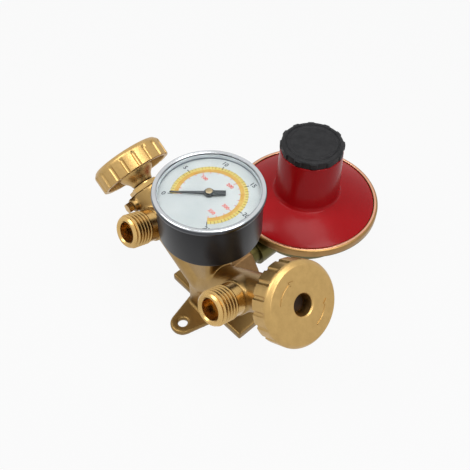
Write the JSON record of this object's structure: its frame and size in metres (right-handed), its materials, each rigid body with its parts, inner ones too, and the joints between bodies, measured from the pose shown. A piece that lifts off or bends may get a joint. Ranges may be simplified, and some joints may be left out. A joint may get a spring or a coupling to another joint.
{
  "type": "gas change-over manifold",
  "caption": "Wall-mounted brass gas manifold with tilted handwheel valves, threaded inlets, a dial pressure gauge and a red diaphragm regulator with a black cap.",
  "frame": {"origin": "on the wall face, under the gauge axis", "axes": "+Z away from the wall, +Y up the wall towards the regulator, +X to the right facing the dial"},
  "size_m": [0.184, 0.1841, 0.1134],
  "materials": {
    "cast_brass": "satin cast",
    "turned_brass": "machined",
    "black_paint": "satin",
    "chrome": "polished",
    "clear_lens": "clear",
    "dial_white": "matte print",
    "needle_black": "matte",
    "red_paint": "gloss",
    "passivated": "yellow passivated",
    "black_plastic": "moulded",
    "pale_plastic": "moulded",
    "rubber": "matte",
    "steel": "plain"
  },
  "bodies": {
    "manifold": {"bourdon_tube": "turned_brass", "diaphragm": "rubber", "gauge_bezel": "chrome", "gauge_case": "black_paint", "gauge_dial": "dial_white", "gauge_lens": "clear_lens", "gauge_socket": "turned_brass", "gauge_washer": "rubber", "inlet_nozzle": "turned_brass", "left_bonnet": "turned_brass", "left_inlet": "turned_brass", "left_lock_screw": "turned_brass", "left_stem_seal": "rubber", "lever_pin": "steel", "manifold_body": "cast_brass", "movement_frame": "turned_brass", "regulator_body": "passivated", "regulator_cover": "red_paint", "regulator_outlet": "turned_brass", "regulator_spring": "steel", "right_bonnet": "turned_brass", "right_inlet": "turned_brass", "right_lock_screw": "turned_brass", "right_stem_seal": "rubber", "union_gasket": "rubber", "union_nut": "turned_brass"},
    "needle": {"gauge_needle": "needle_black"},
    "sector": {"sector_gear": "turned_brass"},
    "cap": {"regulator_cap": "black_plastic"},
    "adjuster": {"spring_adjuster": "pale_plastic"},
    "diaphragm_disc": {"diaphragm_plate": "steel"},
    "lever": {"valve_lever": "steel"},
    "pad": {"valve_pad": "rubber"},
    "left_plug": {"left_valve_plug": "turned_brass", "left_seat_disc": "rubber"},
    "left_wheel": {"left_handwheel": "cast_brass", "left_spindle": "turned_brass", "left_wheel_screw": "steel"},
    "right_plug": {"right_valve_plug": "turned_brass", "right_seat_disc": "rubber"},
    "right_wheel": {"right_handwheel": "cast_brass", "right_spindle": "turned_brass", "right_wheel_screw": "steel"}
  },
  "joints": [
    {"name": "left_plug_lift", "type": "slide", "parent": "manifold", "child": "left_plug", "axis": [-0.8192, 0, 0.5736], "range_m": [0, 0.005]},
    {"name": "left_handwheel_turn", "type": "hinge", "parent": "left_plug", "child": "left_wheel", "pos_m": [0, -0.004, 0.031], "axis": [-0.8192, 0, 0.5736], "range_deg": [0, 900]},
    {"name": "right_plug_lift", "type": "slide", "parent": "manifold", "child": "right_plug", "axis": [0.8192, 0, 0.5736], "range_m": [0, 0.005]},
    {"name": "right_handwheel_turn", "type": "hinge", "parent": "right_plug", "child": "right_wheel", "pos_m": [0, -0.004, 0.031], "axis": [0.8192, 0, 0.5736], "range_deg": [0, 900]},
    {"name": "needle_turn", "type": "hinge", "parent": "manifold", "child": "needle", "pos_m": [0, 0, 0.1095], "axis": [0, 0, 1], "range_deg": [-270, 0]},
    {"name": "sector_turn", "type": "hinge", "parent": "manifold", "child": "sector", "pos_m": [0.0162, 0, 0.0999], "axis": [0, 0, 1], "range_deg": [0, 33.75]},
    {"name": "cap_turn", "type": "hinge", "parent": "manifold", "child": "cap", "pos_m": [0, 0.0895, 0.088], "axis": [0, 0, 1], "range_deg": [-1080, 0]},
    {"name": "adjuster_travel", "type": "slide", "parent": "manifold", "child": "adjuster", "axis": [0, 0, 1], "range_m": [-0.0045, 0], "deforming": ["regulator_spring"]},
    {"name": "diaphragm_lift", "type": "slide", "parent": "manifold", "child": "diaphragm_disc", "axis": [0, 0, 1], "range_m": [0, 0.0015], "deforming": ["diaphragm", "regulator_spring"]},
    {"name": "lever_tilt", "type": "hinge", "parent": "manifold", "child": "lever", "pos_m": [0, 0.0732, 0.017], "axis": [1, 0, 0], "range_deg": [0, 4.66]},
    {"name": "pad_travel", "type": "slide", "parent": "manifold", "child": "pad", "axis": [0, -1, 0], "range_m": [0, 0.00057]}
  ],
  "couplings": [
    {"joint": "left_plug_lift", "follows": "left_handwheel_turn", "m_per_rad": 0.00031831},
    {"joint": "right_plug_lift", "follows": "right_handwheel_turn", "m_per_rad": 0.00031831},
    {"joint": "sector_turn", "follows": "needle_turn", "ratio": -0.125},
    {"joint": "adjuster_travel", "follows": "cap_turn", "m_per_rad": 0.00023873},
    {"joint": "lever_tilt", "follows": "diaphragm_lift", "rad_per_m": 54.054},
    {"joint": "pad_travel", "follows": "diaphragm_lift", "ratio": 0.37838}
  ]
}
